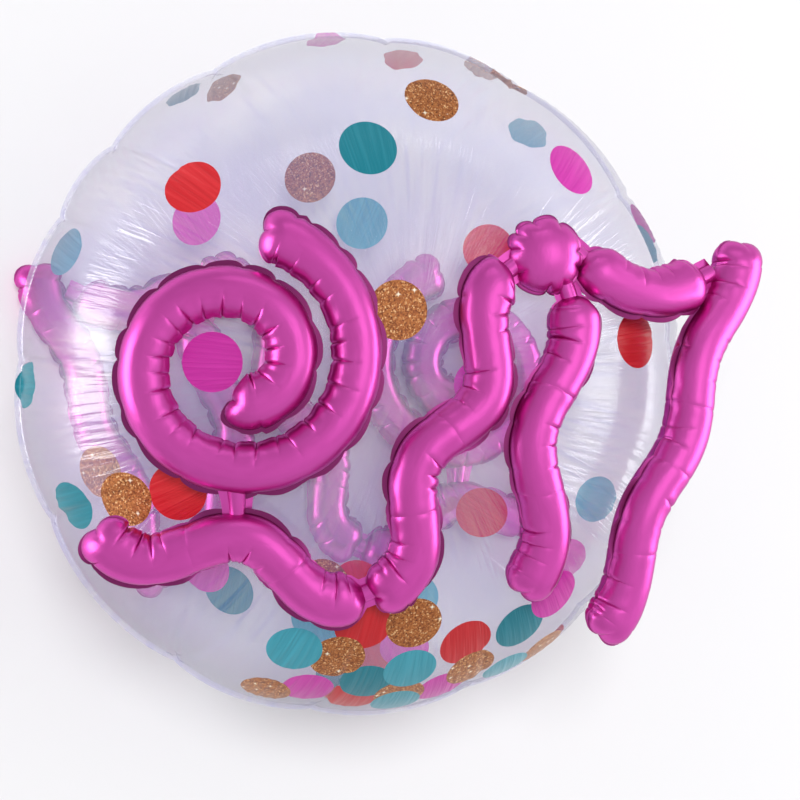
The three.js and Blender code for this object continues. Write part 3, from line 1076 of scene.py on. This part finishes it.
# %% [markdown]
# ### From a sphere to a tube
#
# A tube starts as a UV sphere with as many rings as it needs, because that is already closed
# at both ends. Each ring goes to its distance along the route, and each column to its place
# round the tube. Rings stand close together at the ends and at each crimp, and a fine pair of
# columns beside each weld keeps its edge crisp.

# %% Rings and columns of a tube
COLUMNS = 56
WELD_COLUMNS = (COLUMNS // 4, 3 * COLUMNS // 4)
WELD_HALF = math.radians(1.4)
CAP_RINGS, CAP_STEP = 12, 7.5
RING_SPACING = 3.5 * MM
CRIMP_RINGS = (0, 0.5, 1.0, 1.6, 2.4, 3.4)
FROM_TIP, LEAST_SPACING = 0.05 * MM, 0.3 * MM


def new_sphere(name, columns, rings):
    """A unit sphere, and its points, ready to be drawn out into another shape."""
    deselect()
    bpy.ops.mesh.primitive_uv_sphere_add(segments=columns, ring_count=rings, radius=1)
    piece = name_it(name)
    points = np.empty(3 * len(piece.data.vertices))
    piece.data.vertices.foreach_get("co", points)
    return piece, points.reshape(-1, 3)


def ring_places(length, crimps):
    """Distances along a tube that get a ring of points: close together at the crimps."""
    places = set()
    for end, away in ((0, 1), (length, -1)):
        for k in range(1, CAP_RINGS + 1):
            inset = TUBE_RADIUS * (1 - math.cos(math.radians(CAP_STEP * k)))
            places.add(end + away * inset)
    for k in range(1, int(length / RING_SPACING)):
        places.add(k * RING_SPACING)
    for along, *_ in crimps:
        for offset in CRIMP_RINGS:
            places.update((along - offset * MM, along + offset * MM))
    kept = [FROM_TIP]
    for place in sorted(places):
        if place - kept[-1] > LEAST_SPACING and place < length - FROM_TIP:
            kept.append(place)
    return np.array([0, *kept, length - FROM_TIP, length])


def column_angles():
    """Angles round a tube from its top: even, but for a fine pair beside each weld."""
    angle = np.arange(COLUMNS) * TURN / COLUMNS
    for column in WELD_COLUMNS:
        for away in (-1, 1):
            angle[column + away] = column * TURN / COLUMNS + away * WELD_HALF
    return angle


def rows_and_columns(points, rings, columns):
    """Which ring and which column of the sphere each point is in."""
    ring = np.rint(np.arccos(np.clip(-points[:, 2], -1, 1)) / math.pi * rings).astype(int)
    column = np.rint(np.arctan2(points[:, 0], points[:, 1]) / TURN * columns).astype(int)
    return ring, column % columns


# %% [markdown]
# ### Width, ends and necks
#
# A free end of a tube is round, with a few lobes where the weld turns the corner. An end that
# joins another piece narrows to a neck, and there the weld widens to a flat web.

# %% Width of a tube and of its welds
NECK_RADIUS = 7 * MM
NECK_LENGTH = 13 * MM
WELD_REACH = 4.6 * MM
WEB_REACH = 6 * MM
NOTCHED_REACH = 0.3
OUTSIDE_REACH, BEND_CHANGE, LEAST_OUTSIDE = 0.55, 0.75, 0.12
LEAST_WELD = 0.25


def half_widths(along, length, neck_start, neck_end):
    """How wide a tube is at each side, and how far each point is into its rounded end."""
    start = NECK_LENGTH if neck_start else 0
    stop = length - (NECK_LENGTH if neck_end else 0)
    inward = TUBE_RADIUS - np.minimum(along - start, stop - along)
    width = TUBE_RADIUS * np.sqrt(np.clip(1 - (np.maximum(inward, 0) / TUBE_RADIUS) ** 2, 0, 1))
    necked = np.where(along < length / 2, neck_start, neck_end)
    return np.where(necked, np.maximum(width, NECK_RADIUS), width), inward, necked


def weld_reaches(line, along, across, fullness, width, web):
    """How far a weld stands out, and how much painted shade it gets: less inside a bend."""
    bend = line.at(along, line.bend)
    inner = across * np.sign(bend) * np.minimum(1, abs(bend) / FULL_CRIMP_BEND)
    outside = np.clip(OUTSIDE_REACH - BEND_CHANGE * inner, LEAST_OUTSIDE, 1)
    reach = WELD_REACH * (NOTCHED_REACH + (1 - NOTCHED_REACH) * fullness) * outside
    reach = reach * np.clip(width / TUBE_RADIUS, LEAST_WELD, 1)
    return reach * (1 - web) + WEB_REACH * web, outside * (1 - web)


# %% Lobes of the free ends
END_LOBES = 4
END_LOBE_DEPTH, END_LOBE_REACH = 0.12, 3
END_LOBE_ROUNDNESS = 0.7
END_PINCH, END_PINCH_REACH = 0.3, 2.5


def lobed_ends(inward, aside, rise, weld_reach, here):
    """The ends' (inward, aside, rise), where the weld turns the corner in lobes."""
    angle = np.arctan2(abs(aside), inward)
    full = np.abs(np.sin(END_LOBES / 2 * angle)) ** END_LOBE_ROUNDNESS
    outer = np.clip(np.hypot(aside, inward) / TUBE_RADIUS, 0, 1) ** END_LOBE_REACH
    lobe = 1 + outer * END_LOBE_DEPTH * (2 * full - 1)
    near_tip = np.clip(inward / TUBE_RADIUS, 0, 1) ** END_PINCH_REACH
    pinch = 1 - END_PINCH * (1 - full) * near_tip
    aside = np.where(here, aside * lobe, aside)
    return inward * lobe + weld_reach * np.cos(angle), aside, np.where(here, rise * pinch, rise)


# %% Lay points along a route
def along_route(side, line, along, aside, rise):
    """Points beside and over a route's middle line, in the model's frame."""
    middle = laid(side, line.at(along, line.points))
    up = surface_up(side, middle)
    heading = line.at(along, line.heading)
    # the back set is mirrored, so its routes run the other way across
    forward = np.column_stack([heading[:, 0] * side, heading[:, 1], np.zeros(len(along))])
    forward = unit(forward - up * np.sum(forward * up, axis=1, keepdims=True))
    sideways = np.cross(up, forward)
    past = along - np.clip(along, 0, line.length)
    offset = past[:, None] * forward + aside[:, None] * sideways + rise[:, None] * up
    return middle + set_scale(side) * offset + (BALLOON_ASIDE, 0, 0)


# %% Blow up a tube
END_SWELL = 0.1
NOTCH_DEPTH, NOTCH_SPREAD = 1.6 * MM, 0.12
BESIDE_WELD = 0.001
SMOOTH_BELOW = math.radians(50)


def finished_foil(piece, places, rest, weld=None):
    """A sphere with its points moved, turned outwards, smooth but for the welds, lacquered."""
    piece.data.vertices.foreach_set("co", places.ravel())
    keep_on_points(piece.data, "rest", rest)
    # the weld attribute says how much painted shade the lacquer gets at each point
    if weld is not None:
        keep_on_points(piece.data, "weld", weld)
    piece.data.update()
    bpy.context.view_layer.objects.active = piece
    bpy.ops.object.mode_set(mode="EDIT")
    bpy.ops.mesh.select_all(action="SELECT")
    bpy.ops.mesh.normals_make_consistent(inside=False)
    bpy.ops.object.mode_set(mode="OBJECT")
    bpy.ops.object.shade_smooth_by_angle(angle=SMOOTH_BELOW)
    piece.data.materials.clear()
    piece.data.materials.append(foil_finish)
    return piece


def foil_tube(name, key, side, seed):
    """One streamer, crimped and notched, along its route."""
    route, neck_start, neck_end = ROUTES[key]
    line = Line(route)
    crimps = crimps_along(line, seed)
    rings = ring_places(line.length, crimps)
    last = len(rings) - 1
    tube, points = new_sphere(name, COLUMNS, last)
    ring, column = rows_and_columns(points, last, COLUMNS)
    around, along = column_angles()[column], rings[ring]
    across, upwards = np.sin(around), np.cos(around)
    on_weld = np.isin(column, WELD_COLUMNS)
    at_start = along < line.length / 2

    width, inward, necked = half_widths(along, line.length, neck_start, neck_end)
    lift, slide = crimped(along, across, crimps)
    fullness = between_notches(along, line.length, seed + 1)
    near_weld = np.exp(-(((abs(across) - 1) / NOTCH_SPREAD) ** 2))
    lift = lift - NOTCH_DEPTH * (1 - fullness) * near_weld
    lift = lift * np.clip(1 - np.maximum(inward, 0) / TUBE_RADIUS, 0, 1)
    swell = 1 + END_SWELL * np.exp(-((np.minimum(inward, 0) / TUBE_RADIUS) ** 2))
    aside, rise = (width + lift) * swell * across, (width + lift) * upwards

    web = necked * np.clip(inward / TUBE_RADIUS - 0.5, 0, 0.5) * 2
    weld_reach, seen = weld_reaches(line, along, across, fullness, width, web)
    aside = np.where(on_weld, aside + np.sign(across) * weld_reach, aside)
    here = (inward > 0) & ~necked
    weld_reach = np.where(on_weld | (ring == 0) | (ring == last), weld_reach, 0)
    inward, aside, rise = lobed_ends(inward, aside, rise, weld_reach, here)
    from_end = TUBE_RADIUS - inward
    moved = np.where(at_start, from_end, line.length - from_end)
    moved = np.where(here, moved, along + slide)
    bottom = -TUBE_RADIUS * FLAT_SHARE
    rise = np.clip(rise, bottom, -bottom if side == BACK else None)

    places = along_route(side, line, moved, aside, rise)
    straight = np.column_stack([TUBE_RADIUS * across, along, TUBE_RADIUS * upwards])
    # the points beside a weld carry its painted shade, less inside a bend
    beside_weld = abs(abs(across) - 1) < BESIDE_WELD
    return finished_foil(tube, places, straight, np.where(beside_weld, seen, 0))


# %% [markdown]
# ### The whirl's neck and the ball
#
# A short neck joins the whirl to the left ripple. It flares at both ends and carries a flat
# web at each side. The ball is a flattened sphere whose weld runs round it in uneven lobes.

# %% The whirl's neck
NECK_COLUMNS = 32
NECK_RINGS = 24
NECK_FLARE = 0.5
NECK_CLOSING = 20
NECK_WEB = 1.8
AT_SIDE = 0.999


def foil_neck(name, side):
    """The short neck between the whirl and the left ripple, with a flat web at each side."""
    first, last = laid(side, np.array(WHIRL_NECK) * MM) + (BALLOON_ASIDE, 0, 0)
    neck, points = new_sphere(name, NECK_COLUMNS, NECK_RINGS)
    share = np.arccos(np.clip(-points[:, 2], -1, 1)) / math.pi
    angle = np.arctan2(points[:, 0], points[:, 1])
    radius = NECK_RADIUS * set_scale(side) * (1 + NECK_FLARE * (2 * share - 1) ** 2)
    radius = radius * np.clip(NECK_CLOSING * np.sin(math.pi * share), 0, 1)
    web = np.where(abs(np.sin(angle)) > AT_SIDE, NECK_WEB, 1)
    forward = unit(last - first)
    up = unit(np.array([0, 0, 1]) - forward * forward[2])
    sideways = np.cross(up, forward)
    places = first + share[:, None] * (last - first)
    places = places + (radius * web * np.sin(angle))[:, None] * sideways
    places = places + (radius * np.cos(angle))[:, None] * up
    return finished_foil(neck, places, places)


# %% The ball
BALL_RADIUS = 31 * MM
BALL_FLATNESS, BALL_FULLNESS = 0.72, 0.92
BALL_LOBES, BALL_LOBE_DEPTH, BALL_LOBE_ROUNDNESS = 9, 0.08, 0.45
BALL_LOBE_BALANCE = 1.7
WIDER_LOBES = ((0.16, 2, 1), (0.1, 5, 0))  # how much, how often and from where round the ball
BALL_PINCH = 0.5
LOBES_FROM, LOBES_FADE = 0.72, 1.5
BALL_COLUMNS, BALL_RINGS = 180, 60
BALL_WELD, BALL_NOTCHED = 2.6 * MM, 0.4
AT_MIDDLE = 1e-4


def foil_ball(name, side):
    """A flattened ball, lobed only near its weld."""
    ball, points = new_sphere(name, BALL_COLUMNS, BALL_RINGS)
    angle = np.arctan2(points[:, 1], points[:, 0])
    out, up = np.hypot(points[:, 0], points[:, 1]), points[:, 2]
    on_weld = abs(up) < AT_MIDDLE
    uneven = angle
    for amount, count, start in WIDER_LOBES:
        uneven = uneven + amount * np.sin(count * angle + start)
    full = np.abs(np.cos(BALL_LOBES / 2 * uneven)) ** BALL_LOBE_ROUNDNESS
    outer = np.clip((out - LOBES_FROM) / (1 - LOBES_FROM), 0, 1) ** LOBES_FADE
    lobe = 1 + outer * BALL_LOBE_DEPTH * (BALL_LOBE_BALANCE * full - 1)
    reach = BALL_RADIUS * out * lobe
    weld = BALL_WELD * (BALL_NOTCHED + (1 - BALL_NOTCHED) * full)
    reach = reach + np.where(on_weld, weld, 0)
    pinch = 1 - BALL_PINCH * (1 - full) * outer
    rise = BALL_RADIUS * BALL_FLATNESS * np.sign(up) * abs(up) ** BALL_FULLNESS * pinch
    rise = rise + BALL_RADIUS * BALL_FLATNESS - TUBE_RADIUS * FLAT_SHARE + GAP
    middle = laid(side, np.array(BALL_MIDDLE) * MM) + (BALLOON_ASIDE, 0, 0)
    around = np.column_stack([reach * np.cos(angle), reach * np.sin(angle), rise])
    places = middle + set_scale(side) * around
    # the whole weld of the ball is darkened with painted shade
    return finished_foil(ball, places, points * BALL_RADIUS, np.where(on_weld, 1, 0))


# %% [markdown]
# ### Both sets
#
# Each set is six tubes, the neck and the ball. Every piece stands for the solid of the same
# name, and the neck stands with the whirl for the whirl's solid.

# %% Make both sets
SET_SEEDS = {FACE: 400, BACK: 200}
SEED_STEP = 10


def in_place_of(node, piece):
    """Hand a finished foil piece over: it rides on the body and stands for a solid."""
    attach(piece, BODY)
    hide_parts(node)
    print(piece.name, len(piece.data.polygons), "faces")


for place, side in SIDES.items():
    for number, key in enumerate(ROUTES):
        seed = SET_SEEDS[side] + SEED_STEP * number
        in_place_of(f"{place}_{key}", foil_tube(f"{place}_{key}_foil", key, side, seed))
    in_place_of(f"{place}_ball", foil_ball(f"{place}_ball_foil", side))
    in_place_of(f"{place}_whirl", foil_neck(f"{place}_neck_foil", side))
